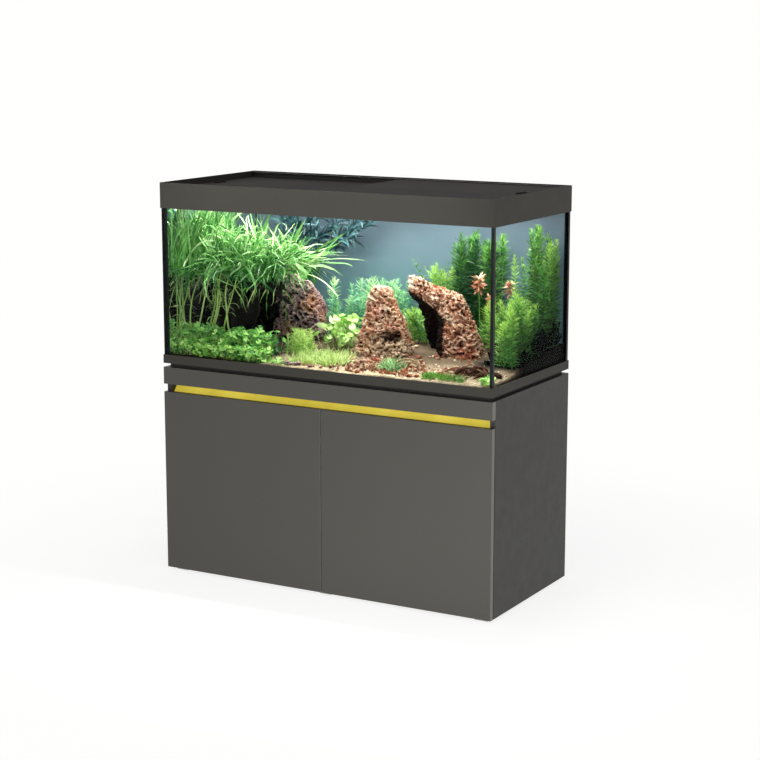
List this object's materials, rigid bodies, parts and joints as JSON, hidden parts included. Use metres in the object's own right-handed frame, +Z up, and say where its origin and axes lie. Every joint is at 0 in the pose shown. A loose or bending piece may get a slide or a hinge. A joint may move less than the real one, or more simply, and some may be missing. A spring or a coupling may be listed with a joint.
{
  "type": "aquarium on stand",
  "caption": "Planted glass aquarium with a framed hood and sliding covers, on a two-door cabinet with a finger-grip recess.",
  "frame": {"origin": "centre of the footprint, on the floor", "axes": "+X to the right as seen from the doors, +Y to the back, +Z up"},
  "size_m": [1.3, 0.6, 1.402],
  "materials": {
    "body_lacquer": "satin anthracite lacquer on board",
    "front_lacquer": "satin anthracite lacquer on board, paler edges",
    "hood_lacquer": "satin anthracite powder coat",
    "dark_board": "matt black board",
    "foot_plastic": "moulded pale grey plastic",
    "accent_strip": "translucent yellow strip, satin",
    "black_plastic": "fine matt grain",
    "led_tape": "white tape",
    "bumper_rubber": "soft grey rubber",
    "hinge_steel": "nickel-plated steel",
    "mat_foam": "closed-cell foam",
    "tank_glass": "polished float glass",
    "silicone": "black sealant",
    "background": "blue-grey graded sheet",
    "cover_panel": "dark brown-black panel, satin gloss",
    "light_metal": "anodised aluminium",
    "light_diffuser": "opal plastic",
    "sand": "pale sand with small pebbles",
    "rock_dark": "rough purple-brown rock",
    "rock_tan": "rough tan rock with rust patches",
    "rock_rust": "rough rust-red rock",
    "bog_wood": "dark water-worn wood",
    "leaf_fern": "glossy green leaf",
    "leaf_carpet": "small round leaves",
    "leaf_bush": "light green leaf",
    "leaf_grass": "yellow-green blade",
    "leaf_stem": "fine whorled green leaf",
    "leaf_red": "copper-red leaf",
    "moss": "moss"
  },
  "bodies": {
    "aquarium": {"feet": "foot_plastic", "cabinet_bottom": "body_lacquer", "side_panel_left": "body_lacquer", "side_panel_right": "body_lacquer", "centre_divider": "body_lacquer", "back_panel": "dark_board", "cabinet_top": "body_lacquer", "front_rail": "body_lacquer", "fascia": "front_lacquer", "grip_strip": "accent_strip", "strip_carrier": "black_plastic", "strip_light": "led_tape", "door_bumpers": "bumper_rubber", "hinge_plates": "hinge_steel", "hinge_arms": "hinge_steel", "plinth": "dark_board", "safety_mat": "mat_foam", "base_frame_front": "hood_lacquer", "base_frame_back": "hood_lacquer", "base_frame_left": "hood_lacquer", "base_frame_right": "hood_lacquer", "glass_bottom": "tank_glass", "glass_front": "tank_glass", "glass_back": "tank_glass", "glass_left": "tank_glass", "glass_right": "tank_glass", "glass_brace": "tank_glass", "silicone_seams": "silicone", "background_panel": "background", "hood_front": "hood_lacquer", "hood_back": "hood_lacquer", "hood_left": "hood_lacquer", "hood_right": "hood_lacquer", "track_front": "black_plastic", "track_back": "black_plastic", "light_housings": "light_metal", "light_diffusers": "light_diffuser", "light_end_caps": "black_plastic", "light_brackets": "hood_lacquer", "sand_bed": "sand", "rock_left": "rock_dark", "rock_centre": "rock_tan", "rock_arch": "rock_rust", "small_stones": "rock_dark", "driftwood": "bog_wood", "java_fern": "leaf_fern", "carpet_plants": "leaf_carpet", "bush_plants": "leaf_bush", "hair_grass": "leaf_grass", "stem_plants": "leaf_stem", "red_plants": "leaf_red", "moss": "moss"},
    "left_hinge_link": {"hinge_links_left": "hinge_steel"},
    "left_door": {"door_left": "front_lacquer", "hinge_cups_left": "hinge_steel"},
    "right_hinge_link": {"hinge_links_right": "hinge_steel"},
    "right_door": {"door_right": "front_lacquer", "hinge_cups_right": "hinge_steel"},
    "left_cover": {"cover_left": "cover_panel"},
    "right_cover": {"cover_right": "cover_panel"}
  },
  "joints": [
    {"name": "left_link_turn", "type": "hinge", "parent": "aquarium", "child": "left_hinge_link", "pos_m": [-0.625, -0.28, 0.3355], "axis": [0, 0, 1], "range_deg": [0, 35]},
    {"name": "left_door_swing", "type": "hinge", "parent": "left_hinge_link", "child": "left_door", "pos_m": [-0.64, -0.285, 0.3355], "axis": [0, 0, -1], "range_deg": [0, 140]},
    {"name": "right_link_turn", "type": "hinge", "parent": "aquarium", "child": "right_hinge_link", "pos_m": [0.625, -0.28, 0.3355], "axis": [0, 0, -1], "range_deg": [0, 35]},
    {"name": "right_door_swing", "type": "hinge", "parent": "right_hinge_link", "child": "right_door", "pos_m": [0.64, -0.285, 0.3355], "axis": [0, 0, 1], "range_deg": [0, 140]},
    {"name": "left_cover_slide", "type": "slide", "parent": "aquarium", "child": "left_cover", "axis": [1, 0, 0], "range_m": [0, 0.6]},
    {"name": "right_cover_slide", "type": "slide", "parent": "aquarium", "child": "right_cover", "axis": [-1, 0, 0], "range_m": [0, 0.6]}
  ],
  "couplings": [
    {"joint": "left_link_turn", "follows": "left_door_swing", "ratio": 0.25},
    {"joint": "right_link_turn", "follows": "right_door_swing", "ratio": 0.25}
  ]
}
